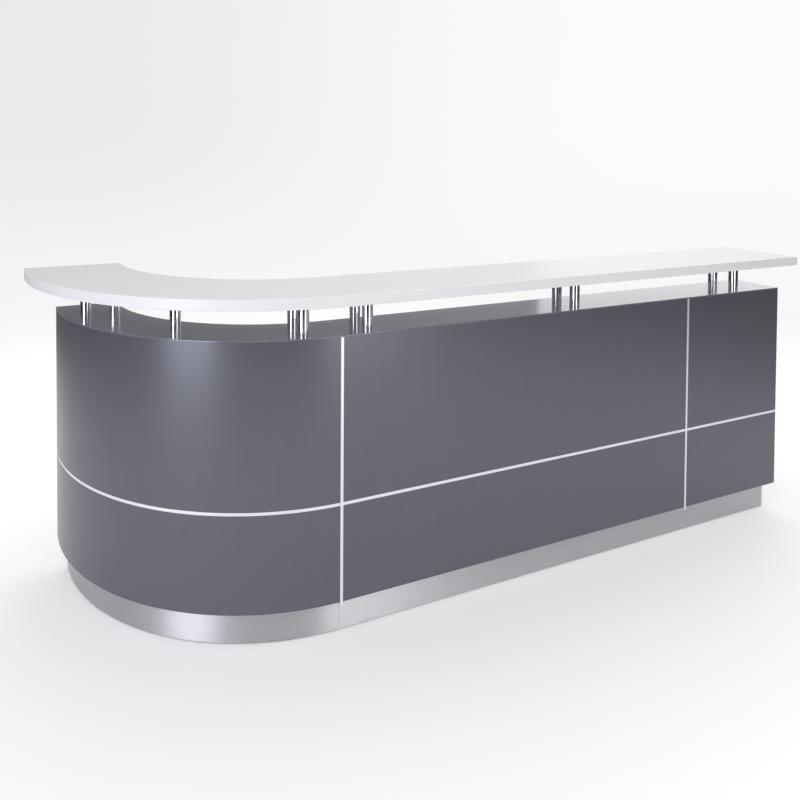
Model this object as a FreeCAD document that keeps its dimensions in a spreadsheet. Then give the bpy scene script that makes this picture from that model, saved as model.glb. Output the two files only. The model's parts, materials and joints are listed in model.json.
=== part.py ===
import FreeCAD, Part
import math
import os
import re

import Sketcher

# Checkout counter with a quarter-round left corner. X runs along the straight front, Y from the customer's
# side to the staff's side, Z up. The origin is on the floor under the middle of the counter's box. Places
# are worked out from the joint between the round and the straight module (x), the front face (y) and the
# floor (z).

DIMENSIONS = [
    ("body_depth", 840, "depth of the body, and outer radius of its round corner"),
    ("straight_length", 2100, "front, from the joint to the right end"),
    ("end_bay", 550, "right end to the middle of the end bay's upright strip"),
    ("wall_depth", 222, "hollow front wall, from its front face to its staff-side face"),
    ("board", 18, "thickness of panels and carcass boards"),
    ("panel_height", 881, "front panels, from the plinth to the ledge's upper face"),
    ("lower_panel", 321, "height of the lower front panels"),
    ("panel_edge", 1.2, "rounding of the edges of panels and desk boards"),
    ("strip_width", 10, "face width of the aluminium strips"),
    ("strip_recess", 0.8, "how far the strips lie behind the panels' faces"),
    ("strip_drop", 12, "how far the upright strips run down past the panels"),
    ("plinth_height", 115, "floor to the panels' lower edge"),
    ("plinth_recess", 34, "kickplate behind the front face, and in from both ends"),
    ("plinth_rear_end", 50, "plinth's right side, in from the back"),
    ("kickplate_angle", 22, "front leg of the kickplate's right corner angle"),
    ("kickplate_seam", 0.8, "open seams between the kickplate's sheets"),
    ("steel_sheet", 1.5, "thickness of the kickplate skins and the drawer trays"),
    ("glide_height", 3, "nylon glides under the plinth"),
    ("glide_diameter", 16, "nylon glides"),
    ("ledge_thickness", 25, "capping of the front wall, board and sheet together"),
    ("ledge_sheet", 5, "glossy sheet on the capping board and the panels"),
    ("ledge_sheet_edge", 0.8, "rounding of the glossy sheet's edges"),
    ("top_thickness", 36, "customer top"),
    ("top_width", 345, "customer top, front to back"),
    ("top_overhang", 110, "customer top in front of the front face"),
    ("top_end_setback", 30, "customer top's right end, in from the front's right end"),
    ("top_edge", 2.5, "rounding of the customer top's edges"),
    ("post_height", 118, "ledge to the customer top"),
    ("post_diameter", 38, "chrome posts"),
    ("post_tube", 2, "wall of the chrome posts"),
    ("post_front_row", 58, "front row of posts, in from the front face"),
    ("post_rear_row", 164, "rear row of posts, in from the front face"),
    ("post_joint_gap", 115, "from the joint's strip to the pairs of posts on both sides of it"),
    ("post_middle", 1000, "joint to the middle pair of posts"),
    ("post_end_gap", 215, "right end to the last pair of posts"),
    ("post_corner_turn", 17, "degrees from the left end to the first pair of posts"),
    ("post_single_turn", 48, "degrees from the left end to the single post"),
    ("stud_diameter", 10, "threaded rods in the posts"),
    ("stud_clearance", 0.5, "stud holes, wider than the stud"),
    ("stud_tail", 22, "stud below the ledge, and in the customer top"),
    ("nut_width", 19, "post nuts, corner to corner"),
    ("nut_height", 8, "post nuts"),
    ("bolt_diameter", 8, "bolts that join the two modules"),
    ("bolt_head", 16, "heads of the joining bolts"),
    ("bolt_head_height", 5, "heads of the joining bolts"),
    ("desk_height", 740, "floor to the staff desk's upper face"),
    ("desk_thickness", 25, "staff desk"),
    ("desk_edge", 2, "rounding of the staff desk's edges"),
    ("support_place", 700, "joint to the panel under the middle of the desk"),
    ("support_setback", 40, "desk boards and drawer fronts behind the desk's rear edge"),
    ("grommet_hole", 60, "cable holes in the desk"),
    ("grommet_bore", 52, "clear bore of the cable rings"),
    ("grommet_flange", 78, "cable rings' flange"),
    ("grommet_flange_height", 3, "cable rings' flange"),
    ("grommet_setback", 75, "wall to the middle of the cable holes"),
    ("grommet_left", 350, "joint to the left cable hole"),
    ("grommet_right", 1200, "joint to the right cable hole"),
    ("drawer_unit", 400, "drawer unit, outside its left board to inside the right gable"),
    ("drawer_gap", 3, "gaps round the drawer fronts"),
    ("box_front", 150, "height of the two upper drawer fronts"),
    ("box_tray", 100, "height of the two upper drawer trays"),
    ("file_tray", 240, "height of the file drawer's tray"),
    ("tray_length", 500, "drawer trays, front to back"),
    ("tray_lift", 22, "drawer front's lower edge to the tray's floor"),
    ("tray_corner", 4, "rounding of the trays' upright corners"),
    ("runner_space", 12.7, "room for a runner at each side of a tray"),
    ("runner_height", 45, "fixed runner members"),
    ("runner_inner_height", 30, "moving runner members"),
    ("runner_sheet", 1.5, "wall of the runner members"),
    ("runner_reach", 9, "depth of both runner members' channels"),
    ("handle_span", 128, "drawer handles, middle to middle of their feet"),
    ("handle_reach", 28, "drawer front to the handle's bar, middle"),
    ("handle_diameter", 10, "drawer handles"),
    ("handle_bend", 12, "bend radius of the handles' middle line"),
    ("lock_diameter", 19, "lock hole in the top drawer's front"),
    ("lock_clearance", 0.06, "gap round the lock plug"),
    ("lock_bezel", 23, "lock plug's face"),
    ("lock_bezel_height", 2.5, "lock plug's face"),
    ("lock_face_gap", 0.1, "drawer front to the lock plug's face"),
    ("lock_inset", 46, "drawer front's right edge to the lock's middle"),
    ("lock_drop", 14.5, "drawer front's upper edge to the lock's middle"),
    ("lock_tail", 4, "lock plug behind the drawer front"),
    ("key_slot_width", 2.4, "lock plug's key slot"),
    ("key_slot_height", 8, "lock plug's key slot"),
    ("key_slot_depth", 6, "lock plug's key slot"),
    ("cam_length", 21, "lock cam, from the lock's middle"),
    ("cam_width", 8, "lock cam"),
    ("cam_thickness", 2, "lock cam"),
    ("cam_clearance", 2, "room round the cam in the desk's slot"),
]

# Places of the joint and of the front face in the counter's own frame.
JOINT_X = "(top_overhang + body_depth - straight_length) / 2"
FRONT_Y = "(top_overhang - body_depth) / 2"

# Heights and lengths that several pieces share.
PANEL_TOP = "(plinth_height + panel_height)"
STRIP_LOW = "(plinth_height + lower_panel)"
STRIP_HIGH = "(plinth_height + lower_panel + strip_width)"
UPPER_PANEL = "(panel_height - lower_panel - strip_width - ledge_sheet)"
LEDGE_LOW = "(plinth_height + panel_height - ledge_thickness)"
SHEET_LOW = "(plinth_height + panel_height - ledge_sheet)"
FLOOR_BOARD_TOP = "(plinth_height + board)"
RIB_HEIGHT = "(panel_height - ledge_thickness - board)"
END_STRIP = "(straight_length - end_bay - strip_width / 2)"
GABLE_INSIDE = "(straight_length - board)"
WALL_INSIDE = "(wall_depth - 2 * board)"
PLINTH_RIGHT = "(straight_length - plinth_recess - steel_sheet - board)"
PLINTH_FACE = "(plinth_recess + steel_sheet)"
PLINTH_BOARD = "(plinth_height - glide_height)"
DESK_LOW = "(desk_height - desk_thickness)"
DESK_DEPTH = "(body_depth - wall_depth)"
SUPPORT_DEPTH = "(body_depth - wall_depth - support_setback)"
TOP_LOW = "(plinth_height + panel_height + post_height)"
UNIT_LEFT = "(straight_length - board - drawer_unit)"
TRAY_WIDTH = "(drawer_unit - board - 2 * runner_space)"
FRONT_FACE = "(body_depth - support_setback)"
FILE_FRONT = f"({DESK_LOW} - plinth_height - 2 * box_front - 4 * drawer_gap)"

# Where glides, ribs and joining bolts stand: turns in degrees from the counter's left end round the corner,
# and shares of the straight plinth's length, the wall's depth and the panels' height.
GLIDE_TURNS = (12, 45, 78)
GLIDE_SHARES = (0.05, 0.35, 0.65, 0.95)
RIB_TURNS = (30, 60)
BOLT_DEPTH_SHARES = (0.35, 0.65)
BOLT_HEIGHT_SHARES = (0.25, 0.75)

# Middles of the cable holes in the desk.
CABLE_HOLES = [(x, "(wall_depth + grommet_setback)") for x in ("grommet_left", "grommet_right")]

# Each drawer: its name, its front's lower edge, its front's height and its tray's height.
FIRST_FRONT = "(plinth_height + drawer_gap)"
SECOND_FRONT = f"({FIRST_FRONT} + {FILE_FRONT} + drawer_gap)"
THIRD_FRONT = f"({SECOND_FRONT} + box_front + drawer_gap)"
DRAWERS = [
    ("file_drawer", FIRST_FRONT, FILE_FRONT, "file_tray"),
    ("middle_drawer", SECOND_FRONT, "box_front", "box_tray"),
    ("top_drawer", THIRD_FRONT, "box_front", "box_tray"),
]
FRONT_X = f"({UNIT_LEFT} + drawer_gap)"
FRONT_WIDTH = "(drawer_unit - 2 * drawer_gap)"
FRONT_BACK = f"({FRONT_FACE} - board)"
TRAY_X = f"({UNIT_LEFT} + board + runner_space)"
TRAY_Y = f"({FRONT_BACK} - tray_length)"
LOCK_X = f"({FRONT_X} + {FRONT_WIDTH} - lock_inset)"
LOCK_Z = f"({THIRD_FRONT} + box_front - lock_drop)"
CAM_Y = f"({FRONT_BACK} - lock_tail - cam_thickness)"

doc = FreeCAD.newDocument("checkout_counter")
sheet = doc.addObject("Spreadsheet::Sheet", "Dims")
for row, (alias, size, meaning) in enumerate(DIMENSIONS, start=1):
    sheet.set(f"A{row}", meaning)
    sheet.set(f"B{row}", str(size))
    sheet.setAlias(f"B{row}", alias)
doc.recompute()

ALIASES = {alias for alias, size, meaning in DIMENSIONS}
subparts = []


# ---- formulas, places and sketches ------------------------------------------------------------------

def formula(text):
    """The expression that a plain formula stands for, with each alias read from the sheet."""
    return re.sub(r"[a-z_]+", lambda word: f"Dims.{word[0]}" if word[0] in ALIASES else word[0], str(text))


def number(text):
    """Value of a plain formula at the sheet's present sizes."""
    return float(sheet.evalExpression(formula(text)))


def bind(thing, **sizes):
    """Bind properties of an object to formulas."""
    for name, text in sizes.items():
        thing.setExpression(name, formula(text))


def place(thing, x, y, z):
    """Bind an object's place: x from the joint, y from the front face, z from the floor."""
    thing.setExpression("Placement.Base.x", formula(f"{JOINT_X} + {x}"))
    thing.setExpression("Placement.Base.y", formula(f"{FRONT_Y} + {y}"))
    thing.setExpression("Placement.Base.z", formula(z))
    return thing


def subpart(thing, label):
    """Name an object as one of the counter's sub-parts."""
    thing.Label = label
    subparts.append(thing)
    return thing


def new_body(label, x, y, z):
    return place(doc.addObject("PartDesign::Body", f"body_{label}"), x, y, z)


def new_sketch(body, plane="XY_Plane"):
    """An empty sketch on one of a body's own origin planes."""
    sketch = body.newObject("Sketcher::SketchObject", f"sketch_{body.Name}")
    support = next(item for item in body.Origin.OriginFeatures if item.Role == plane)
    sketch.AttachmentSupport = [(support, "")]
    sketch.MapMode = "FlatFace"
    return sketch


def size_constraint(sketch, kind, *where, size):
    """Add a dimensional constraint that follows a formula."""
    index = sketch.addConstraint(Sketcher.Constraint(kind, *where, number(size)))
    sketch.setExpression(f"Constraints[{index}]", formula(size))


def point(x, y):
    return FreeCAD.Vector(x, y, 0)


def add_line(sketch, start, end):
    return sketch.addGeometry(Part.LineSegment(point(*start), point(*end)))


def add_arc(sketch, radius, start, end):
    """An arc about the sketch's origin, anticlockwise, between two angles in degrees."""
    circle = Part.Circle(point(0, 0), FreeCAD.Vector(0, 0, 1), radius)
    return sketch.addGeometry(Part.ArcOfCircle(circle, math.radians(start), math.radians(end)))


def join(sketch, *ends):
    """Make pairs of line or arc ends meet: 1 is a start, 2 an end and 3 a centre."""
    for first, first_end, second, second_end in ends:
        sketch.addConstraint(Sketcher.Constraint("Coincident", first, first_end, second, second_end))


def draw_outline(sketch, corners):
    """A closed outline of sides that are level and upright in turn, a level one first."""
    count = len(corners)
    for index, corner in enumerate(corners):
        add_line(sketch, corner, corners[(index + 1) % count])
    join(sketch, *[(side, 2, (side + 1) % count, 1) for side in range(count)])
    for side in range(count):
        direction = "Vertical" if side % 2 else "Horizontal"
        sketch.addConstraint(Sketcher.Constraint(direction, side))


def draw_rectangle(sketch, width, height):
    """A rectangle with one corner on the sketch's origin."""
    right, upper = number(width), number(height)
    draw_outline(sketch, [(0, 0), (right, 0), (right, upper), (0, upper)])
    join(sketch, (0, 1, -1, 1))
    size_constraint(sketch, "DistanceX", 0, 1, 0, 2, size=width)
    size_constraint(sketch, "DistanceY", 1, 1, 1, 2, size=height)


def draw_quarter_ring(sketch, outer, inner, left_gap=0, front_gap=0):
    """A quarter ring about the origin, from the left (-X) to the front (-Y), less a gap at each end."""
    radii = [number(outer), number(inner)]
    gaps = [number(left_gap), number(front_gap)]
    for radius in radii:
        start = 180 + math.degrees(math.asin(gaps[0] / radius))
        end = 270 - math.degrees(math.asin(gaps[1] / radius))
        add_arc(sketch, radius, start, end)
    left = [(-math.sqrt(radius ** 2 - gaps[0] ** 2), -gaps[0]) for radius in radii]
    front = [(-gaps[1], -math.sqrt(radius ** 2 - gaps[1] ** 2)) for radius in radii]
    add_line(sketch, *left)
    add_line(sketch, *front)
    join(sketch, (0, 3, -1, 1), (1, 3, -1, 1), (0, 1, 2, 1), (1, 1, 2, 2), (0, 2, 3, 1), (1, 2, 3, 2))
    size_constraint(sketch, "Radius", 0, size=outer)
    size_constraint(sketch, "Radius", 1, size=inner)
    sketch.addConstraint(Sketcher.Constraint("Horizontal", 2))
    sketch.addConstraint(Sketcher.Constraint("Vertical", 3))
    if gaps[0]:
        size_constraint(sketch, "DistanceY", 2, 1, -1, 1, size=left_gap)
    else:
        sketch.addConstraint(Sketcher.Constraint("PointOnObject", 2, 1, -1))
    if gaps[1]:
        size_constraint(sketch, "DistanceX", 3, 1, -1, 1, size=front_gap)
    else:
        sketch.addConstraint(Sketcher.Constraint("PointOnObject", 3, 1, -2))


def draw_circle(sketch, diameter):
    """A circle about the sketch's origin."""
    circle = Part.Circle(point(0, 0), FreeCAD.Vector(0, 0, 1), number(diameter) / 2)
    index = sketch.addGeometry(circle)
    join(sketch, (index, 3, -1, 1))
    size_constraint(sketch, "Diameter", index, size=diameter)


def pad(body, sketch, length):
    feature = body.newObject("PartDesign::Pad", f"pad_{body.Name}")
    feature.Profile = sketch
    bind(feature, Length=length)
    doc.recompute()
    return feature


def round_edges(body, base, radius, wanted=None):
    """Round the edges of a feature that pass a test, or all of them."""
    names = [f"Edge{index}" for index, edge in enumerate(base.Shape.Edges, start=1)
             if wanted is None or wanted(edge)]
    feature = body.newObject("PartDesign::Fillet", f"fillet_{body.Name}")
    feature.Base = (base, names)
    bind(feature, Radius=radius)
    doc.recompute()
    return feature


# ---- the kinds of piece -----------------------------------------------------------------------------

def board(label, x, y, z, length, depth, height, edge=None):
    """A flat board with square or rounded edges, from its lowest corner."""
    body = new_body(label, x, y, z)
    sketch = new_sketch(body)
    draw_rectangle(sketch, length, depth)
    blank = pad(body, sketch, height)
    if edge:
        round_edges(body, blank, edge)
    return body


def bent_board(label, z, outer, inner, height, edge=None, left_gap=0, front_gap=0):
    """A board bent to a quarter ring round the corner's middle."""
    body = new_body(label, 0, "body_depth", z)
    sketch = new_sketch(body)
    draw_quarter_ring(sketch, outer, inner, left_gap, front_gap)
    blank = pad(body, sketch, height)
    if edge:
        round_edges(body, blank, edge)
    return body


def cylinder(label, x, y, z, diameter, height):
    rod = place(doc.addObject("Part::Cylinder", label), x, y, z)
    bind(rod, Radius=f"({diameter}) / 2", Height=height)
    return rod


def box(label, x, y, z, length, depth, height):
    block = place(doc.addObject("Part::Box", label), x, y, z)
    bind(block, Length=length, Width=depth, Height=height)
    return block


def group(label, pieces):
    """Identical loose pieces that share one node."""
    compound = doc.addObject("Part::Compound", f"group_{label}")
    compound.Links = pieces
    return compound


def fuse(label, *pieces):
    """Pieces welded to one solid, with no lines left between flush faces."""
    result = doc.addObject("Part::MultiFuse", f"fuse_{label}")
    result.Shapes = list(pieces)
    result.Refine = True
    return result


def cut(label, base, tool):
    result = doc.addObject("Part::Cut", f"cut_{label}")
    result.Base = base
    result.Tool = tool
    return result


def drilled(label, base, places, z, diameter, depth):
    """A piece with round upright holes."""
    drills = [cylinder(f"drill_{label}", x, y, z, diameter, depth) for x, y in places]
    return cut(label, base, group(f"drills_{label}", drills))


# ---- where the posts stand --------------------------------------------------------------------------

def on_corner(inset, turn):
    """A place on the round corner: inset from its outer face, turned from the left end."""
    radius = f"(body_depth - {inset})"
    return f"(0 - {radius} * cos({turn}))", f"(body_depth - {radius} * sin({turn}))"


def front_to_back(x):
    """A pair of posts, one behind the other."""
    return [(x, "post_front_row"), (x, "post_rear_row")]


CORNER_POSTS = [
    on_corner("post_front_row", "post_corner_turn"),
    on_corner("post_rear_row", "post_corner_turn"),
    on_corner("(post_front_row + post_rear_row) / 2", "post_single_turn"),
    *front_to_back("(0 - strip_width / 2 - post_joint_gap)"),
]
STRAIGHT_POSTS = [
    *front_to_back("(post_joint_gap - strip_width / 2)"),
    *front_to_back("post_middle"),
    *front_to_back("(straight_length - post_end_gap)"),
]
POSTS = CORNER_POSTS + STRAIGHT_POSTS


# ---- front ------------------------------------------------------------------------------------------

def front_panels():
    """Six panels: a lower and an upper one in the round corner, the main front and the end bay."""
    end_bay_left = f"({END_STRIP} + strip_width)"
    rows = [("lower", "plinth_height", "lower_panel"), ("upper", STRIP_HIGH, UPPER_PANEL)]
    columns = [("main", 0, END_STRIP), ("end", end_bay_left, f"(straight_length - {end_bay_left})")]
    for row, z, height in rows:
        bent = bent_board(f"curved_{row}", z, "body_depth", "body_depth - board", height, "panel_edge",
                          front_gap="strip_width")
        subpart(bent, f"front_panel_curved_{row}")
        for column, x, length in columns:
            flat = board(f"{column}_{row}", x, 0, z, length, "board", height, "panel_edge")
            subpart(flat, f"front_panel_{column}_{row}")


def strips():
    """Aluminium strips in the gaps between the panels; the uprights run through."""
    depth = "(board - strip_recess)"
    low = "(plinth_height - strip_drop)"
    full = "(panel_height + strip_drop - ledge_sheet)"
    joint = board("strip_joint", "(0 - strip_width)", "strip_recess", low, "strip_width", depth, full)
    subpart(joint, "strip_joint")
    end_bay = board("strip_end_bay", END_STRIP, "strip_recess", low, "strip_width", depth, full)
    subpart(end_bay, "strip_end_bay")
    main = board("strip_main", 0, "strip_recess", STRIP_LOW, END_STRIP, depth, "strip_width")
    subpart(main, "strip_main")
    end_left = f"({END_STRIP} + strip_width)"
    end = board("strip_end", end_left, "strip_recess", STRIP_LOW, f"straight_length - {end_left}", depth,
                "strip_width")
    subpart(end, "strip_end")
    bent = bent_board("strip_curved", STRIP_LOW, "body_depth - strip_recess", "body_depth - board",
                      "strip_width", front_gap="strip_width")
    subpart(bent, "strip_curved")


# ---- plinth -----------------------------------------------------------------------------------------

def kickplates():
    """Brushed steel skins round the plinth, with open seams at the joint and at the right corner."""
    outer = "(body_depth - plinth_recess)"
    inner = "(body_depth - plinth_recess - steel_sheet)"
    bent = bent_board("kickplate_curved", "glide_height", outer, inner, PLINTH_BOARD,
                      left_gap="plinth_recess", front_gap="kickplate_seam / 2")
    subpart(bent, "kickplate_curved")
    angle_x = "(straight_length - plinth_recess - kickplate_angle)"
    straight = board("kickplate_straight", "kickplate_seam / 2", "plinth_recess", "glide_height",
                     f"{angle_x} - 1.5 * kickplate_seam", "steel_sheet", PLINTH_BOARD)
    subpart(straight, "kickplate_straight")
    right_x = "(straight_length - plinth_recess - steel_sheet)"
    front_leg = box("kickplate_front_leg", angle_x, "plinth_recess", "glide_height", "kickplate_angle",
                    "steel_sheet", PLINTH_BOARD)
    side_leg = box("kickplate_side_leg", right_x, "plinth_recess", "glide_height", "steel_sheet",
                   "body_depth - plinth_rear_end - plinth_recess", PLINTH_BOARD)
    subpart(fuse("kickplate_right_end", front_leg, side_leg), "kickplate_right_end")
    left_reach = f"sqrt({inner} ^ 2 - {PLINTH_FACE} ^ 2)"
    left = board("kickplate_left", f"(0 - {left_reach})", f"(body_depth - {PLINTH_FACE})", "glide_height",
                 f"{left_reach} - (body_depth - wall_depth + board)", "steel_sheet", PLINTH_BOARD)
    subpart(left, "kickplate_left_end")


def plinth_boards():
    """Boards behind the skins, under the front wall and under the right gable."""
    outer = f"(body_depth - {PLINTH_FACE})"
    inner = f"(body_depth - {PLINTH_FACE} - board)"
    rear_outer = "(body_depth - wall_depth + 2 * board)"
    rear_inner = "(body_depth - wall_depth + board)"
    front = bent_board("plinth_curved_front", "glide_height", outer, inner, PLINTH_BOARD,
                       left_gap=PLINTH_FACE)
    subpart(front, "plinth_curved_front")
    rear = bent_board("plinth_curved_rear", "glide_height", rear_outer, rear_inner, PLINTH_BOARD,
                      left_gap=PLINTH_FACE)
    subpart(rear, "plinth_curved_rear")
    for label, y in (("plinth_straight_front", PLINTH_FACE),
                     ("plinth_straight_rear", "(wall_depth - 2 * board)")):
        subpart(board(label, 0, y, "glide_height", PLINTH_RIGHT, "board", PLINTH_BOARD), label)
    right = board("plinth_right_end", PLINTH_RIGHT, PLINTH_FACE, "glide_height", "board",
                  f"body_depth - plinth_rear_end - {PLINTH_FACE}", PLINTH_BOARD)
    subpart(right, "plinth_right_end")
    reach = f"sqrt({inner} ^ 2 - ({PLINTH_FACE} + board) ^ 2)"
    left = board("plinth_left_end", f"(0 - {reach})", f"(body_depth - {PLINTH_FACE} - board)",
                 "glide_height", f"{reach} - {rear_outer}", "board", PLINTH_BOARD)
    subpart(left, "plinth_left_end")


def glides():
    """Nylon pads under the plinth boards, the desk support and the drawer unit."""
    front_middle = f"({PLINTH_FACE} + board / 2)"
    rear_middle = "(wall_depth - 1.5 * board)"
    places = [on_corner(middle, turn) for middle in (front_middle, rear_middle) for turn in GLIDE_TURNS]
    for share in GLIDE_SHARES:
        places += [(f"({share} * {PLINTH_RIGHT})", y) for y in (front_middle, rear_middle)]
    rear_foot = "(body_depth - 2 * plinth_rear_end)"
    front_foot = "(wall_depth + plinth_rear_end)"
    places.append((f"({PLINTH_RIGHT} + board / 2)", rear_foot))
    for x in ("(support_place + board / 2)", f"({UNIT_LEFT} + board / 2)"):
        places += [(x, front_foot), (x, rear_foot)]
    pads = [cylinder("glide", x, y, 0, "glide_diameter", "glide_height") for x, y in places]
    subpart(group("glides", pads), "glides")


# ---- front wall -------------------------------------------------------------------------------------

def wall_boards():
    """Floor, staff-side skin and closed left end of the hollow wall."""
    outer = "(body_depth - board)"
    skin = "(body_depth - wall_depth + board)"
    face = "(body_depth - wall_depth)"
    subpart(bent_board("base_board_curved", "plinth_height", outer, skin, "board"), "base_board_curved")
    subpart(bent_board("inner_panel_curved", "plinth_height", skin, face,
                       "panel_height - ledge_thickness"), "inner_panel_curved")
    subpart(board("base_board_straight", 0, "board", "plinth_height", GABLE_INSIDE, WALL_INSIDE, "board"),
            "base_board_straight")
    subpart(board("inner_panel_straight", 0, "(wall_depth - board)", "plinth_height", GABLE_INSIDE,
                  "board", "panel_height - ledge_thickness"), "inner_panel_straight")
    reach = f"sqrt({outer} ^ 2 - board ^ 2)"
    cap = board("left_end_cap", f"(0 - {reach})", "(body_depth - board)", FLOOR_BOARD_TOP,
                f"{reach} - {skin}", "board", RIB_HEIGHT)
    subpart(cap, "left_end_cap")


def ledges():
    """Capping boards with a glossy sheet on them, all drilled for the studs of the posts."""
    hole = "stud_diameter + stud_clearance"
    board_height = "ledge_thickness - ledge_sheet"
    face = "(body_depth - wall_depth)"
    layers = [
        ("ledge_board", LEDGE_LOW, board_height, "board", GABLE_INSIDE, None),
        ("ledge_sheet", SHEET_LOW, "ledge_sheet", "0", "straight_length", "ledge_sheet_edge"),
    ]
    for name, z, height, front, length, edge in layers:
        bent = bent_board(f"{name}_curved", z, f"(body_depth - {front})", face, height, edge)
        curved = drilled(f"{name}_curved", bent, CORNER_POSTS, z, hole, height)
        subpart(curved, f"{name}_curved")
        flat = board(f"{name}_straight", 0, front, z, length, f"(wall_depth - {front})", height, edge)
        straight = drilled(f"{name}_straight", flat, STRAIGHT_POSTS, z, hole, height)
        subpart(straight, f"{name}_straight")


def ribs():
    """Upright ribs between the wall's floor and the capping, straight ones and two in the corner."""
    between = f"({END_STRIP} + strip_width / 2)"
    places = [f"({between} / 3)", f"(2 * {between} / 3)", between, f"(({between} + {GABLE_INSIDE}) / 2)"]
    pieces = [box("wall_rib", f"({x} - board / 2)", "board", FLOOR_BOARD_TOP, "board", WALL_INSIDE,
                  RIB_HEIGHT) for x in places]
    inner = "(body_depth - wall_depth + board)"
    outer = "sqrt((body_depth - board) ^ 2 - (board / 2) ^ 2)"
    for turn in RIB_TURNS:
        # The rib's lowest corner, half a board off the line through the corner's middle.
        x = f"(0 - {inner} * cos({turn}) - board / 2 * sin({turn}))"
        y = f"(body_depth - {inner} * sin({turn}) + board / 2 * cos({turn}))"
        rib = box("curve_rib", x, y, FLOOR_BOARD_TOP, f"{outer} - {inner}", "board", RIB_HEIGHT)
        rib.Placement.Rotation = FreeCAD.Rotation(FreeCAD.Vector(0, 0, 1), 180 + turn)
        pieces.append(rib)
    subpart(group("wall_ribs", pieces), "wall_ribs")


def module_joint():
    """The two modules' side boards, back to back, and the bolts through them."""
    start = "(body_depth - sqrt((body_depth - board) ^ 2 - board ^ 2))"
    end = "(wall_depth - board)"
    curve_side = box("curve_side", "(0 - board)", start, FLOOR_BOARD_TOP, "board", f"{end} - {start}",
                     RIB_HEIGHT)
    wall_side = box("wall_side", 0, "board", FLOOR_BOARD_TOP, "board", WALL_INSIDE, RIB_HEIGHT)
    places = [(f"({depth} * wall_depth)", f"(plinth_height + {height} * panel_height)")
              for depth in BOLT_DEPTH_SHARES for height in BOLT_HEIGHT_SHARES]
    along_x = FreeCAD.Rotation(FreeCAD.Vector(0, 1, 0), 90)
    shanks = []
    bolts = []
    for y, z in places:
        shank = cylinder("bolt_shank", "(0 - board)", y, z, "bolt_diameter", "2 * board")
        near = cylinder("bolt_head", "(0 - board - bolt_head_height)", y, z, "bolt_head",
                        "bolt_head_height")
        far = cylinder("bolt_nut", "board", y, z, "bolt_head", "bolt_head_height")
        for piece in (shank, near, far):
            piece.Placement.Rotation = along_x
        shanks.append(shank)
        bolts.append(fuse("bolt", near, shank, far))
    sides = [cut("side_board", side, group("bolt_holes", shanks)) for side in (curve_side, wall_side)]
    subpart(group("module_side_boards", sides), "module_side_boards")
    subpart(group("joint_connectors", bolts), "joint_connectors")


def right_gable():
    """L-shaped board that closes the wall's right end and carries the desk."""
    body = new_body("right_gable", GABLE_INSIDE, 0, "plinth_height")
    sketch = new_sketch(body, "YZ_Plane")
    desk_rise = f"({DESK_LOW} - plinth_height)"
    wall_rise = "(panel_height - ledge_sheet)"
    front, step, back = number("board"), number("wall_depth"), number("body_depth")
    desk, height = number(desk_rise), number(wall_rise)
    corners = [(front, 0), (back, 0), (back, desk), (step, desk), (step, height), (front, height)]
    draw_outline(sketch, corners)
    sketch.addConstraint(Sketcher.Constraint("PointOnObject", 0, 1, -1))
    size_constraint(sketch, "DistanceX", -1, 1, 0, 1, size="board")
    size_constraint(sketch, "DistanceX", -1, 1, 0, 2, size="body_depth")
    size_constraint(sketch, "DistanceX", -1, 1, 3, 1, size="wall_depth")
    size_constraint(sketch, "DistanceY", -1, 1, 1, 2, size=desk_rise)
    size_constraint(sketch, "DistanceY", -1, 1, 4, 1, size=wall_rise)
    blank = pad(body, sketch, "board")
    round_edges(body, blank, "panel_edge")
    subpart(body, "right_gable")


# ---- customer top and its posts ---------------------------------------------------------------------

def customer_top():
    """One board that follows the corner and the straight front, with blind holes for the studs."""
    outer = "(body_depth + top_overhang)"
    inner = "(body_depth + top_overhang - top_width)"
    length = "(straight_length - top_end_setback)"
    body = new_body("top", 0, "body_depth", TOP_LOW)
    sketch = new_sketch(body)
    far, near, end = number(outer), number(inner), number(length)
    add_arc(sketch, far, 180, 270)
    add_line(sketch, (0, -far), (end, -far))
    add_line(sketch, (end, -far), (end, -near))
    add_line(sketch, (end, -near), (0, -near))
    add_arc(sketch, near, 180, 270)
    add_line(sketch, (-near, 0), (-far, 0))
    join(sketch, (0, 3, -1, 1), (4, 3, -1, 1), (0, 2, 1, 1), (1, 2, 2, 1), (2, 2, 3, 1), (3, 2, 4, 2),
         (4, 1, 5, 1), (5, 2, 0, 1))
    for side, direction in ((1, "Horizontal"), (2, "Vertical"), (3, "Horizontal"), (5, "Horizontal")):
        sketch.addConstraint(Sketcher.Constraint(direction, side))
    sketch.addConstraint(Sketcher.Constraint("PointOnObject", 0, 1, -1))
    sketch.addConstraint(Sketcher.Constraint("PointOnObject", 0, 2, -2))
    sketch.addConstraint(Sketcher.Constraint("PointOnObject", 4, 2, -2))
    size_constraint(sketch, "Radius", 0, size=outer)
    size_constraint(sketch, "Radius", 4, size=inner)
    size_constraint(sketch, "DistanceX", -1, 1, 1, 2, size=length)
    blank = pad(body, sketch, "top_thickness")
    round_edges(body, blank, "top_edge")
    subpart(drilled("top", body, POSTS, TOP_LOW, "stud_diameter", "stud_tail"), "top")


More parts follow.
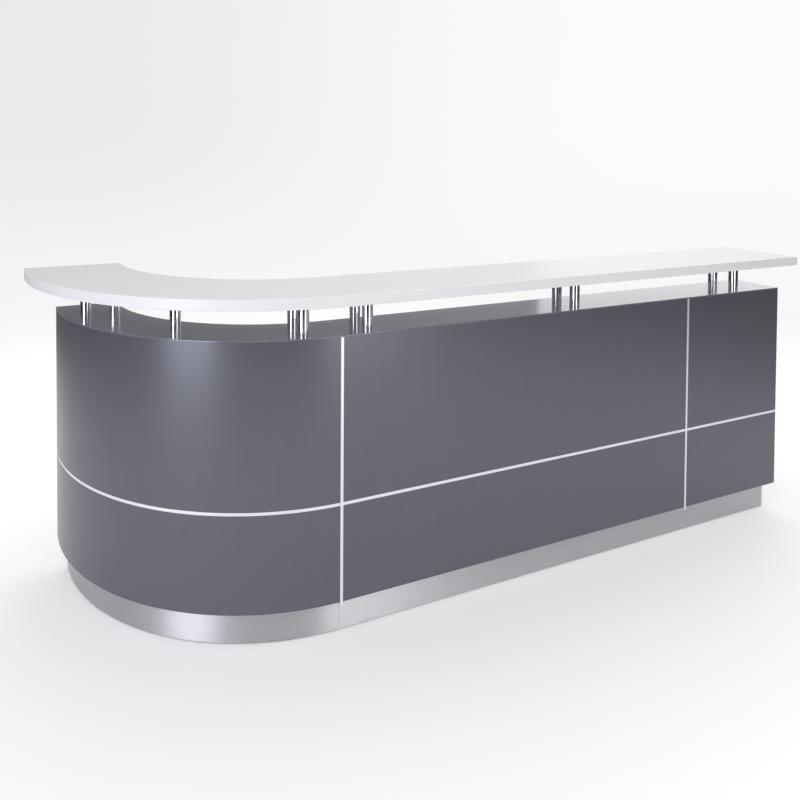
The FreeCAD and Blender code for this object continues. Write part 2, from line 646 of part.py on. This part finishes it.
def posts():
    """Chrome tubes, the threaded rods through them and the nuts under the ledge."""
    tubes = []
    studs = []
    nuts = []
    for x, y in POSTS:
        tube = cylinder("post", x, y, PANEL_TOP, "post_diameter", "post_height")
        bore = cylinder("post_bore", x, y, PANEL_TOP, "post_diameter - 2 * post_tube", "post_height")
        tubes.append(cut("post", tube, bore))
        stud = cylinder("stud", x, y, f"({LEDGE_LOW} - stud_tail)", "stud_diameter",
                        "2 * stud_tail + ledge_thickness + post_height")
        studs.append(stud)
        nut = place(doc.addObject("Part::Prism", "nut"), x, y, f"({LEDGE_LOW} - nut_height)")
        nut.Polygon = 6
        bind(nut, Circumradius="nut_width / 2", Height="nut_height")
        nuts.append(cut("nut", nut, stud))
    subpart(group("posts", tubes), "posts")
    subpart(group("post_studs", studs), "post_studs")
    subpart(group("post_nuts", nuts), "post_nuts")


# ---- staff desk -------------------------------------------------------------------------------------

def desk():
    """Desk boards inside the corner and along the wall, and the panel under the long one."""
    body = new_body("worktop_curved", 0, "body_depth", DESK_LOW)
    sketch = new_sketch(body)
    radius = number(DESK_DEPTH)
    add_arc(sketch, radius, 180, 270)
    add_line(sketch, (0, -radius), (0, 0))
    add_line(sketch, (0, 0), (-radius, 0))
    join(sketch, (0, 3, -1, 1), (0, 2, 1, 1), (1, 2, 2, 1), (2, 2, 0, 1), (1, 2, -1, 1))
    sketch.addConstraint(Sketcher.Constraint("Vertical", 1))
    sketch.addConstraint(Sketcher.Constraint("Horizontal", 2))
    size_constraint(sketch, "Radius", 0, size=DESK_DEPTH)
    blank = pad(body, sketch, "desk_thickness")
    round_edges(body, blank, "desk_edge")
    subpart(body, "worktop_curved")
    flat = board("worktop_straight", 0, "wall_depth", DESK_LOW, "straight_length", DESK_DEPTH,
                 "desk_thickness", "desk_edge")
    holed = drilled("cable_holes", flat, CABLE_HOLES, DESK_LOW, "grommet_hole", "desk_thickness")
    slot = box("cam_slot", f"({LOCK_X} - cam_length / 2 - cam_clearance)", f"({CAM_Y} - cam_clearance)",
               DESK_LOW, "cam_length / 2 + cam_width / 2 + 2 * cam_clearance",
               "cam_thickness + 2 * cam_clearance", f"{LOCK_Z} + cam_length + cam_clearance - {DESK_LOW}")
    subpart(cut("worktop_straight", holed, slot), "worktop_straight")
    support = board("worktop_support", "support_place", "wall_depth", "glide_height", "board",
                    SUPPORT_DEPTH, f"{DESK_LOW} - glide_height", "panel_edge")
    subpart(support, "worktop_support")


def cable_grommets():
    """Plastic rings turned about an upright axis, with a flange on the desk."""
    rings = []
    for x, y in CABLE_HOLES:
        barrel = cylinder("grommet_barrel", x, y, DESK_LOW, "grommet_hole", "desk_thickness")
        flange = place(doc.addObject("Part::Cone", "grommet_flange"), x, y, "desk_height")
        bind(flange, Radius1="grommet_flange / 2", Radius2="grommet_flange / 2 - grommet_flange_height",
             Height="grommet_flange_height")
        ring = fuse("grommet_ring", barrel, flange)
        bore = cylinder("grommet_bore", x, y, DESK_LOW, "grommet_bore",
                        "desk_thickness + grommet_flange_height")
        rings.append(cut("grommet", ring, bore))
    subpart(group("cable_grommets", rings), "cable_grommets")


# ---- drawer unit ------------------------------------------------------------------------------------

def drawer_unit():
    """Left board, floor and toe board; the gable is the unit's right side."""
    side_depth = f"({FRONT_BACK} - drawer_gap - wall_depth)"
    side = board("pedestal_side", UNIT_LEFT, "wall_depth", "glide_height", "board", side_depth,
                 f"{DESK_LOW} - glide_height", "panel_edge")
    subpart(side, "pedestal_side")
    inside = f"({UNIT_LEFT} + board)"
    floor = board("pedestal_bottom", inside, "wall_depth", "plinth_height", "drawer_unit - board",
                  side_depth, "board")
    subpart(floor, "pedestal_bottom")
    toe = board("pedestal_toe", inside, "(body_depth - 2 * plinth_rear_end)", "glide_height",
                f"{PLINTH_RIGHT} - {inside}", "board", PLINTH_BOARD)
    subpart(toe, "pedestal_toe_board")


def drawer_front(name, z, height):
    front = board(f"{name}_front", FRONT_X, FRONT_BACK, z, FRONT_WIDTH, "board", height, "panel_edge")
    if name != "top_drawer":
        return front
    hole = cylinder("lock_hole", LOCK_X, FRONT_BACK, LOCK_Z, "lock_diameter", "board")
    hole.Placement.Rotation = FreeCAD.Rotation(FreeCAD.Vector(1, 0, 0), -90)
    return cut("top_drawer_front", front, hole)


def drawer_tray(name, z, height):
    """Folded steel tray, open above."""
    body = new_body(f"{name}_tray", TRAY_X, TRAY_Y, z)
    outline = new_sketch(body)
    draw_rectangle(outline, TRAY_WIDTH, "tray_length")
    blank = pad(body, outline, height)
    rounded = round_edges(body, blank, "tray_corner", lambda edge: abs(edge.tangentAt(0).z) > 0.9)
    shell = body.newObject("PartDesign::Thickness", f"shell_{name}")
    upper = max(range(len(rounded.Shape.Faces)), key=lambda i: rounded.Shape.Faces[i].CenterOfMass.z)
    shell.Base = (rounded, [f"Face{upper + 1}"])
    bind(shell, Value="steel_sheet")
    shell.Reversed = True
    shell.Mode = 0
    shell.Join = 0
    doc.recompute()
    return body


def runner_profile(name, x, z, height, opens_right):
    """A channel as long as a tray, with its web on one side."""
    web_x = x if opens_right else f"({x} + runner_reach - runner_sheet)"
    outer = box(f"{name}_block", x, TRAY_Y, z, "runner_reach", "tray_length", height)
    hollow_x = f"({x} + runner_sheet)" if opens_right else x
    hollow = box(f"{name}_hollow", hollow_x, TRAY_Y, f"({z} + runner_sheet)",
                 "runner_reach - runner_sheet", "tray_length", f"{height} - 2 * runner_sheet")
    return cut(name, outer, hollow)


def drawer_runners(name, z):
    """The fixed and the moving members at both sides of a tray."""
    left_wall = f"({UNIT_LEFT} + board)"
    right_wall = f"({GABLE_INSIDE} - runner_reach)"
    left_tray = f"({TRAY_X} - runner_reach)"
    right_tray = f"({TRAY_X} + {TRAY_WIDTH})"
    inner_z = f"({z} + (runner_height - runner_inner_height) / 2)"
    fixed = [runner_profile(f"{name}_fixed", left_wall, z, "runner_height", True),
             runner_profile(f"{name}_fixed", right_wall, z, "runner_height", False)]
    moving = [runner_profile(f"{name}_moving", left_tray, inner_z, "runner_inner_height", False),
              runner_profile(f"{name}_moving", right_tray, inner_z, "runner_inner_height", True)]
    return fixed, moving


def drawer_handle(name, z):
    """A rod bent to a bow, with both feet on the drawer front."""
    body = new_body(f"{name}_handle", f"({FRONT_X} + ({FRONT_WIDTH} - handle_span) / 2)", FRONT_FACE, z)
    span, reach, bend = number("handle_span"), number("handle_reach"), number("handle_bend")
    path = new_sketch(body)
    add_line(path, (0, 0), (0, reach - bend))
    left = Part.Circle(point(bend, reach - bend), FreeCAD.Vector(0, 0, 1), bend)
    path.addGeometry(Part.ArcOfCircle(left, math.pi / 2, math.pi))
    add_line(path, (bend, reach), (span - bend, reach))
    right = Part.Circle(point(span - bend, reach - bend), FreeCAD.Vector(0, 0, 1), bend)
    path.addGeometry(Part.ArcOfCircle(right, 0, math.pi / 2))
    add_line(path, (span, reach - bend), (span, 0))
    join(path, (0, 1, -1, 1))
    for first, first_end, second, second_end in ((0, 2, 1, 2), (1, 1, 2, 1), (2, 2, 3, 2), (3, 1, 4, 1)):
        path.addConstraint(Sketcher.Constraint("Tangent", first, first_end, second, second_end))
    path.addConstraint(Sketcher.Constraint("Vertical", 0))
    path.addConstraint(Sketcher.Constraint("Vertical", 4))
    path.addConstraint(Sketcher.Constraint("PointOnObject", 4, 2, -1))
    path.addConstraint(Sketcher.Constraint("Equal", 1, 3))
    size_constraint(path, "Radius", 1, size="handle_bend")
    size_constraint(path, "DistanceX", 0, 1, 4, 2, size="handle_span")
    size_constraint(path, "DistanceY", 0, 1, 2, 1, size="handle_reach")
    section = new_sketch(body, "XZ_Plane")
    draw_circle(section, "handle_diameter")
    doc.recompute()
    pipe = body.newObject("PartDesign::AdditivePipe", f"pipe_{name}")
    pipe.Profile = section
    pipe.Spine = (path, [f"Edge{index}" for index in range(1, 6)])
    doc.recompute()
    return body


def lock_plug():
    """Turning plug with a face, a key slot and a cam behind the drawer front."""
    y = f"({FRONT_BACK} - lock_tail)"
    along_y = FreeCAD.Rotation(FreeCAD.Vector(1, 0, 0), -90)
    barrel = cylinder("lock_barrel", LOCK_X, y, LOCK_Z, "lock_diameter - 2 * lock_clearance",
                      "board + lock_tail")
    face_y = f"({FRONT_FACE} + lock_face_gap)"
    face = place(doc.addObject("Part::Cone", "lock_face"), LOCK_X, face_y, LOCK_Z)
    bind(face, Radius1="lock_bezel / 2", Radius2="lock_bezel / 2 - lock_bezel_height / 2",
         Height="lock_bezel_height")
    neck = cylinder("lock_neck", LOCK_X, FRONT_BACK, LOCK_Z, "lock_diameter - 2 * lock_clearance",
                    "board + lock_bezel_height")
    for piece in (barrel, face, neck):
        piece.Placement.Rotation = along_y
    cam = box("lock_cam", f"({LOCK_X} - cam_length)", CAM_Y,
              f"({LOCK_Z} - cam_width / 2)", "cam_length + cam_width / 2", "cam_thickness", "cam_width")
    plug = fuse("lock_body", barrel, neck, face, cam)
    slot = box("key_slot", f"({LOCK_X} - key_slot_width / 2)",
               f"({FRONT_FACE} + lock_bezel_height - key_slot_depth)", f"({LOCK_Z} - key_slot_height / 2)",
               "key_slot_width", "2 * key_slot_depth", "key_slot_height")
    subpart(cut("lock_plug", plug, slot), "lock_plug")


def drawers():
    """Three drawers on their runners."""
    all_fixed = []
    for name, z, front_height, tray_height in DRAWERS:
        tray_z = f"({z} + tray_lift)"
        subpart(drawer_front(name, z, front_height), f"{name}_front")
        subpart(drawer_tray(name, tray_z, tray_height), f"{name}_tray")
        subpart(drawer_handle(name, f"({z} + {front_height} / 2)"), f"{name}_handle")
        fixed, moving = drawer_runners(name, f"({tray_z} + ({tray_height} - runner_height) / 2)")
        all_fixed += fixed
        subpart(group(f"{name}_runners", moving), f"{name}_runners")
    subpart(group("fixed_runners", all_fixed), "fixed_runners")


# ---- build, check and write -------------------------------------------------------------------------

front_panels()
strips()
kickplates()
plinth_boards()
glides()
wall_boards()
ledges()
ribs()
module_joint()
right_gable()
customer_top()
posts()
desk()
cable_grommets()
drawer_unit()
drawers()
lock_plug()
doc.recompute()

for thing in doc.Objects:
    bad = [state for state in thing.State if state in ("Invalid", "Error")]
    if bad:
        raise RuntimeError(f"{thing.Label} is {bad}")
for piece in subparts:
    if piece.Shape.isNull() or not piece.Shape.isValid() or not piece.Shape.Solids:
        raise RuntimeError(f"{piece.Label} has no valid solid")

os.makedirs("parts", exist_ok=True)
for piece in subparts:
    piece.Shape.exportStep(f"parts/{piece.Label}.step")
    print(piece.Label, len(piece.Shape.Solids), round(piece.Shape.Volume))
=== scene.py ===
import json
import math

import bpy
from mathutils import Matrix, Vector

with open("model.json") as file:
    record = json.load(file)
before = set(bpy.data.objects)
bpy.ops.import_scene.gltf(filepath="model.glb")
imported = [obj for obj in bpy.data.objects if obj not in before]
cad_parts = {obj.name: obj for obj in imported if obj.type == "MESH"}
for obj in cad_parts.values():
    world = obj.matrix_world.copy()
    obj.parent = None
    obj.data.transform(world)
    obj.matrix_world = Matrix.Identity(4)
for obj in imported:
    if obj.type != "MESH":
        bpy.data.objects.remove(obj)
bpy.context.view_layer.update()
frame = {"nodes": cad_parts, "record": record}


# ---------------------------------------------------------------- shader node helpers

# The Mix node's colour sockets, which share their names with its number sockets.
MIX_FIRST = 6
MIX_SECOND = 7
MIX_RESULT = 2

# How far a rounded normal agrees with the face's own, as a cosine: on an edge, and on a flat face.
EDGE_COSINE = 0.75
FLAT_COSINE = 0.99


class Nodes:
    """A node tree, with short calls for the nodes that the materials and the studio share."""

    def __init__(self, tree):
        self.tree = tree

    def put(self, socket, value):
        """A socket takes a link from another socket, or a plain value."""
        if isinstance(value, bpy.types.NodeSocket):
            self.tree.links.new(value, socket)
        else:
            socket.default_value = value

    def node(self, kind, settings=None, inputs=None):
        made = self.tree.nodes.new("ShaderNode" + kind)
        for name, value in (settings or {}).items():
            setattr(made, name, value)
        for name, value in (inputs or {}).items():
            self.put(made.inputs[name], value)
        return made

    def place(self, stretch=(1, 1, 1)):
        """The point's place on the object in metres, times stretch."""
        where = self.node("TexCoord").outputs["Object"]
        if stretch == (1, 1, 1):
            return where
        inputs = {"Vector": where, "Scale": stretch}
        return self.node("Mapping", {"vector_type": "POINT"}, inputs).outputs["Vector"]

    def noise(self, scale, stretch=(1, 1, 1), detail=2.0, roughness=0.5):
        inputs = {"Vector": self.place(stretch), "Scale": scale, "Detail": detail, "Roughness": roughness}
        return self.node("TexNoise", None, inputs).outputs["Fac"]

    def span(self, value, low, high, start=0.0, end=1.0, smooth=False):
        """value between start and end, moved to between low and high."""
        settings = {"interpolation_type": "SMOOTHSTEP" if smooth else "LINEAR"}
        inputs = {"Value": value, "From Min": start, "From Max": end, "To Min": low, "To Max": high}
        return self.node("MapRange", settings, inputs).outputs["Result"]

    def product(self, first, second):
        made = self.node("Math", {"operation": "MULTIPLY"}, {0: first, 1: second})
        return made.outputs["Value"]

    def mix(self, share, first, second):
        """A colour between two: the first at a share of 0, the second at 1."""
        inputs = {"Factor": share, MIX_FIRST: first, MIX_SECOND: second}
        return self.node("Mix", {"data_type": "RGBA"}, inputs).outputs[MIX_RESULT]

    def bump(self, height, depth, strength):
        """Small relief, with its depth in metres."""
        inputs = {"Height": height, "Distance": depth, "Strength": strength}
        return self.node("Bump", None, inputs).outputs["Normal"]

    def edges(self, radius):
        """1 along a sharp or rounded edge, 0 on a flat face."""
        rounded = self.node("Bevel", {"samples": 4}, {"Radius": radius}).outputs["Normal"]
        flat = self.node("NewGeometry").outputs["Normal"]
        agree = self.node("VectorMath", {"operation": "DOT_PRODUCT"}, {0: rounded, 1: flat})
        return self.span(agree.outputs["Value"], 1.0, 0.0, EDGE_COSINE, FLAT_COSINE)

    def worn_edges(self, radius, patch_scale, strength):
        """Edge wear: strongest in patches, so that no edge is worn evenly."""
        patches = self.span(self.noise(patch_scale, detail=4.0), 0.2, strength, 0.35, 0.7)
        return self.product(self.edges(radius), patches)


class Shader(Nodes):
    """One material, with the tree of its nodes and its main shader."""

    def __init__(self, name):
        self.material = bpy.data.materials.new(name)
        self.material.use_nodes = True
        super().__init__(self.material.node_tree)
        self.surface = self.tree.nodes["Principled BSDF"]

    def set(self, **values):
        """Sets the shader's own sockets: set(Base_Color=..., Roughness=...)."""
        for name, value in values.items():
            self.put(self.surface.inputs[name.replace("_", " ")], value)


def colour(red, green, blue):
    return (red, green, blue, 1.0)


# ---------------------------------------------------------------- materials

def laminate_grey():
    """Satin gunmetal laminate: upright grain, a fine metallic fleck and paler worn edges."""
    s = Shader("laminate_grey")
    cloud = s.noise(2.2, detail=3.0)
    fleck = s.noise(1400, detail=1.0)
    grain = s.noise(220, stretch=(1, 1, 0.02), detail=3.0)
    base = s.mix(cloud, colour(0.094, 0.096, 0.115), colour(0.104, 0.106, 0.126))
    streaked = s.mix(s.span(grain, 0.0, 0.5, 0.35, 0.75), base, colour(0.113, 0.1155, 0.135))
    flecked = s.mix(s.span(fleck, 0.0, 0.35, 0.55, 0.85), streaked, colour(0.17, 0.172, 0.2))
    s.set(Base_Color=s.mix(s.worn_edges(0.002, 9.0, 0.6), flecked, colour(0.22, 0.225, 0.25)))
    s.set(Roughness=s.span(s.noise(5.0, detail=4.0), 0.27, 0.34))
    s.set(Metallic=0.4)
    s.set(Normal=s.bump(fleck, 0.00002, 0.5))
    return s.material


def board_grey():
    """The plainer matt laminate of the staff's side, with scuffs near its edges."""
    s = Shader("board_grey")
    cloud = s.noise(3.0, detail=3.0)
    pore = s.noise(900, detail=2.0)
    base = s.mix(cloud, colour(0.110, 0.113, 0.130), colour(0.130, 0.133, 0.152))
    pored = s.mix(s.span(pore, 0.0, 0.3, 0.5, 0.8), base, colour(0.17, 0.175, 0.19))
    s.set(Base_Color=s.mix(s.worn_edges(0.003, 12.0, 0.7), pored, colour(0.26, 0.265, 0.28)))
    s.set(Roughness=s.span(s.noise(6.0, detail=4.0), 0.42, 0.55))
    s.set(Normal=s.bump(pore, 0.00004, 0.6))
    return s.material


def aluminium_strip():
    """Satin anodised aluminium with a fine even grain."""
    s = Shader("aluminium_strip")
    grain = s.noise(2500, detail=2.0)
    satin = s.mix(grain, colour(0.68, 0.68, 0.74), colour(0.76, 0.76, 0.82))
    s.set(Base_Color=s.mix(s.worn_edges(0.0006, 14.0, 0.5), satin, colour(0.50, 0.50, 0.54)))
    s.set(Metallic=0.6, Roughness=s.span(grain, 0.3, 0.42))
    s.set(Normal=s.bump(grain, 0.00001, 0.5))
    return s.material


def brushed_kickplate():
    """Stainless steel, brushed level: hair lines, broader bands of them, and shoe scuffs low down."""
    s = Shader("brushed_kickplate")
    brush = s.noise(60, stretch=(0.4, 0.4, 45), detail=6.0, roughness=0.7)
    bands = s.noise(24, stretch=(0.15, 0.15, 9), detail=3.0)
    smudge = s.noise(3.0, detail=3.0)
    height = s.node("SeparateXYZ", None, {0: s.place()}).outputs["Z"]
    scuffs = s.span(s.noise(18, stretch=(1, 1, 3), detail=5.0, roughness=0.7), 0.0, 0.5, 0.55, 0.75)
    low = s.span(height, 1.0, 0.0, 0.01, 0.07)
    metal = s.mix(brush, colour(0.46, 0.455, 0.475), colour(0.56, 0.555, 0.575))
    banded = s.mix(s.span(bands, 0.0, 0.5, 0.3, 0.7), metal, colour(0.585, 0.58, 0.605))
    scuffed = s.mix(s.product(scuffs, low), banded, colour(0.40, 0.395, 0.40))
    s.set(Base_Color=s.mix(s.worn_edges(0.0015, 11.0, 0.6), scuffed, colour(0.68, 0.675, 0.69)))
    s.set(Metallic=1.0, Anisotropic=0.9)
    s.set(Roughness=s.span(smudge, 0.37, 0.44))
    # Brush lines that run level spread a highlight upright.
    s.set(Tangent=s.node("CombineXYZ", None, {"Z": 1.0}).outputs[0])
    s.set(Normal=s.bump(brush, 0.00003, 0.6))
    return s.material


def ledge_gloss():
    """Dark glossy capping that mirrors the posts and the wall behind, a little blurred."""
    s = Shader("ledge_gloss")
    cloud = s.noise(4.0, detail=2.0)
    s.set(Base_Color=s.mix(cloud, colour(0.125, 0.131, 0.162), colour(0.143, 0.149, 0.182)))
    s.set(Roughness=s.span(s.noise(5.0, detail=3.0), 0.13, 0.18))
    s.set(Coat_Weight=0.3, Coat_Roughness=0.09)
    s.set(Normal=s.bump(s.noise(5.0, detail=1.0), 0.0001, 0.1))
    return s.material


def top_white():
    """White satin lacquer, a little wavy."""
    s = Shader("top_white")
    cloud = s.noise(2.0, detail=2.0)
    s.set(Base_Color=s.mix(cloud, colour(0.630, 0.627, 0.632), colour(0.660, 0.657, 0.662)))
    s.set(Roughness=s.span(s.noise(6.0, detail=3.0), 0.36, 0.42), Specular_IOR_Level=0.4)
    s.set(Normal=s.bump(s.noise(10.0, detail=1.0), 0.0001, 0.1))
    return s.material


def desk_white():
    """White satin laminate with a fine pearl grain."""
    s = Shader("desk_white")
    grain = s.noise(700, detail=3.0)
    pearl = s.mix(grain, colour(0.70, 0.70, 0.705), colour(0.76, 0.76, 0.765))
    s.set(Base_Color=s.mix(s.worn_edges(0.003, 10.0, 0.35), pearl, colour(0.52, 0.51, 0.50)))
    s.set(Roughness=s.span(s.noise(9.0, detail=4.0), 0.36, 0.48))
    s.set(Normal=s.bump(grain, 0.00005, 0.4))
    return s.material


def carcass_board():
    """Plain melamine board of the hidden structure."""
    s = Shader("carcass_board")
    grain = s.noise(500, detail=3.0)
    s.set(Base_Color=s.mix(grain, colour(0.17, 0.17, 0.18), colour(0.21, 0.21, 0.22)))
    s.set(Roughness=s.span(s.noise(8.0), 0.5, 0.62))
    s.set(Normal=s.bump(grain, 0.00006, 0.5))
    return s.material


def chrome():
    """Polished tube with a faint haze."""
    s = Shader("chrome")
    haze = s.noise(40.0, detail=5.0, roughness=0.6)
    s.set(Base_Color=s.mix(haze, colour(0.66, 0.67, 0.69), colour(0.72, 0.72, 0.74)))
    s.set(Metallic=1.0, Roughness=s.span(haze, 0.03, 0.09))
    s.set(Normal=s.bump(s.noise(90.0), 0.00003, 0.2))
    return s.material


def zinc_steel():
    """Bright zinc plate, with its faint spangle."""
    s = Shader("zinc_steel")
    spangle = s.node("TexVoronoi", None, {"Vector": s.place(), "Scale": 260.0}).outputs["Color"]
    grain = s.noise(300, detail=4.0)
    tone = s.mix(grain, colour(0.55, 0.56, 0.58), colour(0.66, 0.67, 0.68))
    s.set(Base_Color=s.mix(0.06, tone, spangle))
    s.set(Metallic=1.0, Roughness=s.span(grain, 0.28, 0.42))
    s.set(Normal=s.bump(grain, 0.00003, 0.5))
    return s.material


def tray_enamel():
    """Light grey powder coat with orange peel."""
    s = Shader("tray_enamel")
    peel = s.noise(420, detail=1.5)
    enamel = s.mix(s.noise(6.0), colour(0.50, 0.51, 0.53), colour(0.55, 0.56, 0.58))
    s.set(Base_Color=s.mix(s.worn_edges(0.0015, 16.0, 0.5), enamel, colour(0.36, 0.37, 0.39)))
    s.set(Roughness=s.span(peel, 0.38, 0.5))
    s.set(Normal=s.bump(peel, 0.00012, 0.5))
    return s.material


def nylon():
    """Black moulded nylon."""
    s = Shader("nylon")
    grain = s.noise(900, detail=2.0)
    s.set(Base_Color=s.mix(grain, colour(0.035, 0.035, 0.036), colour(0.055, 0.055, 0.056)))
    s.set(Roughness=s.span(grain, 0.45, 0.6))
    s.set(Normal=s.bump(grain, 0.00003, 0.5))
    return s.material


def grommet_plastic():
    """Dark grey moulded plastic with a matt grain."""
    s = Shader("grommet_plastic")
    grain = s.noise(1200, detail=2.0)
    s.set(Base_Color=s.mix(grain, colour(0.11, 0.11, 0.115), colour(0.135, 0.135, 0.14)))
    s.set(Roughness=s.span(grain, 0.42, 0.55))
    s.set(Normal=s.bump(grain, 0.00005, 0.6))
    return s.material


# Each maker's name is the material slot that it dresses.
MAKERS = [laminate_grey, board_grey, aluminium_strip, brushed_kickplate, ledge_gloss, top_white,
          desk_white, carcass_board, chrome, zinc_steel, tray_enamel, nylon, grommet_plastic]


def dress_nodes():
    """Gives every CAD node the material of its slot."""
    materials = {maker.__name__: maker() for maker in MAKERS}
    for part in frame["record"]["subparts"]:
        piece = frame["nodes"][part["node"]]
        piece.data.materials.clear()
        piece.data.materials.append(materials[part["material_slot"]])


# ---------------------------------------------------------------- studio

# The floor: its colours, half its side, and how far out it starts and ends to fade, in metres.
FLOOR_TONE = colour(0.93, 0.93, 0.935)
FLOOR_CLOUD = colour(0.90, 0.90, 0.905)
FLOOR_REACH = 6.0
FLOOR_FADE = (2.4, 5.6)


def floor():
    """Pale floor that glows a little, and fades into the backdrop like a seamless sweep."""
    s = Shader("studio_floor")
    s.set(Base_Color=s.mix(s.noise(0.8), FLOOR_CLOUD, FLOOR_TONE))
    s.set(Roughness=0.6, Emission_Color=colour(1.0, 1.0, 1.0), Emission_Strength=0.2)
    distance = s.node("VectorMath", {"operation": "LENGTH"}, {0: s.place()}).outputs["Value"]
    fade = s.span(distance, 0.0, 1.0, *FLOOR_FADE, smooth=True)
    clear = s.node("BsdfTransparent").outputs[0]
    mixed = s.node("MixShader", None, {0: fade, 1: s.surface.outputs[0], 2: clear}).outputs[0]
    s.put(s.tree.nodes["Material Output"].inputs["Surface"], mixed)
    signs = [(-1, -1), (1, -1), (1, 1), (-1, 1)]
    corners = [(FLOOR_REACH * across, FLOOR_REACH * along, 0) for across, along in signs]
    mesh = bpy.data.meshes.new("studio_floor")
    mesh.from_pydata(corners, [], [(0, 1, 2, 3)])
    mesh.materials.append(s.material)
    plane = bpy.data.objects.new("studio_floor", mesh)
    bpy.context.scene.collection.objects.link(plane)


ROOM_TONE = colour(0.95, 0.965, 1.0)


def room_light():
    """The camera sees a pale backdrop. All else sees a greyer room, darker at the left and below."""
    world = bpy.data.worlds.new("studio")
    world.use_nodes = True
    bpy.context.scene.world = world
    s = Nodes(world.node_tree)
    direction = s.node("SeparateXYZ", None, {0: s.node("TexCoord").outputs["Generated"]}).outputs
    side = s.span(direction["X"], 0.24, 0.56, -0.1, 0.7, smooth=True)
    above = s.span(direction["Z"], 0.12, 1.0, -0.08, 0.02)
    strength = s.product(side, above)
    room = s.node("Background", None, {"Color": ROOM_TONE, "Strength": strength})
    wall = s.span(direction["X"], 0.82, 0.97, 0.0, 0.75, smooth=True)
    sweep = s.span(direction["Z"], 1.0, 0.0, -0.25, 0.05, smooth=True)
    pale = s.mix(sweep, wall, FLOOR_TONE)
    backdrop = s.node("Background", None, {"Color": pale, "Strength": 1.0})
    seen = s.node("LightPath").outputs["Is Camera Ray"]
    mixed = s.node("MixShader", None, {0: seen, 1: room.outputs[0], 2: backdrop.outputs[0]})
    s.put(s.tree.nodes["World Output"].inputs["Surface"], mixed.outputs[0])


def hang(name, light, place, aim):
    """Puts a lamp in the studio, turned towards a point, and hidden from the camera itself."""
    lamp = bpy.data.objects.new(name, light)
    lamp.location = place
    lamp.rotation_mode = "QUATERNION"
    lamp.rotation_quaternion = (Vector(aim) - Vector(place)).to_track_quat("-Z", "Y")
    lamp.visible_camera = False
    bpy.context.scene.collection.objects.link(lamp)
    return lamp


def counter_pieces():
    """What the softboxes light: the counter but not the floor, which would show their edges."""
    pieces = bpy.data.collections.new("softbox_receivers")
    for piece in frame["nodes"].values():
        pieces.objects.link(piece)
    return pieces


def softbox(name, place, aim, size, radiance, receivers, tint=(1.0, 1.0, 1.0)):
    """A rectangular lamp of even radiance. Its power is the radiance times pi times its area."""
    light = bpy.data.lights.new(name, "AREA")
    light.color = tint
    light.shape = "RECTANGLE"
    light.size, light.size_y = size
    light.energy = radiance * math.pi * size[0] * size[1]
    hang(name, light, place, aim).light_linking.receiver_collection = receivers


def far_light(name, place, spread, strength):
    """A lamp aimed at the origin that lights the whole floor alike, its spread in degrees."""
    light = bpy.data.lights.new(name, "SUN")
    light.angle = math.radians(spread)
    light.energy = strength
    hang(name, light, place, (0, 0, 0))


# The tint of the light from the left.
COOL = (0.955, 0.97, 1.07)


def studio_light():
    """The room, one lamp overhead, and five softboxes, each with its place, its aim and its size."""
    room_light()
    far_light("overhead", (0.0, 0.0, 3.0), 110, 2.0)
    pieces = counter_pieces()
    softbox("left_front", (-3.6, -1.95, 1.3), (-1.05, -0.2, 1.1), (1.5, 2.4), 6.6, pieces, COOL)
    softbox("right_front", (0.62, -3.65, 1.3), (-0.6, -0.3, 1.1), (1.0, 2.4), 5.0, pieces)
    softbox("left_back", (-2.9, 3.4, 1.3), (-1.2, 0.2, 0.8), (2.0, 2.2), 0.2, pieces, COOL)
    softbox("right_back", (4.15, 2.6, 1.9), (0.9, -0.2, 1.0), (2.6, 1.4), 0.95, pieces)
    softbox("right_above", (0.2, 0.0, 3.0), (0.2, -0.1, 1.1), (1.8, 1.6), 1.25, pieces)


# The camera: where it stands in metres, how it is turned in degrees, and its lens in millimetres.
CAMERA_PLACE = (-1.4986, -2.5448, 1.6052)
CAMERA_YAW = 24.77
CAMERA_PITCH = 1.51
CAMERA_ROLL = 0.30
CAMERA_LENS = 32.88
CAMERA_SENSOR = 36
CAMERA_SHIFT = (0.04, -0.29)


def camera():
    data = bpy.data.cameras.new("camera")
    data.lens = CAMERA_LENS
    data.sensor_width = CAMERA_SENSOR
    data.shift_x, data.shift_y = CAMERA_SHIFT
    made = bpy.data.objects.new("camera", data)
    turn = Matrix.Rotation(math.radians(-CAMERA_YAW), 4, "Z")
    tilt = Matrix.Rotation(math.radians(90 - CAMERA_PITCH), 4, "X")
    roll = Matrix.Rotation(math.radians(CAMERA_ROLL), 4, "Z")
    made.matrix_world = Matrix.Translation(CAMERA_PLACE) @ turn @ tilt @ roll
    bpy.context.scene.collection.objects.link(made)
    bpy.context.scene.camera = made


bpy.context.scene.view_settings.view_transform = "Standard"
dress_nodes()
floor()
studio_light()
camera()
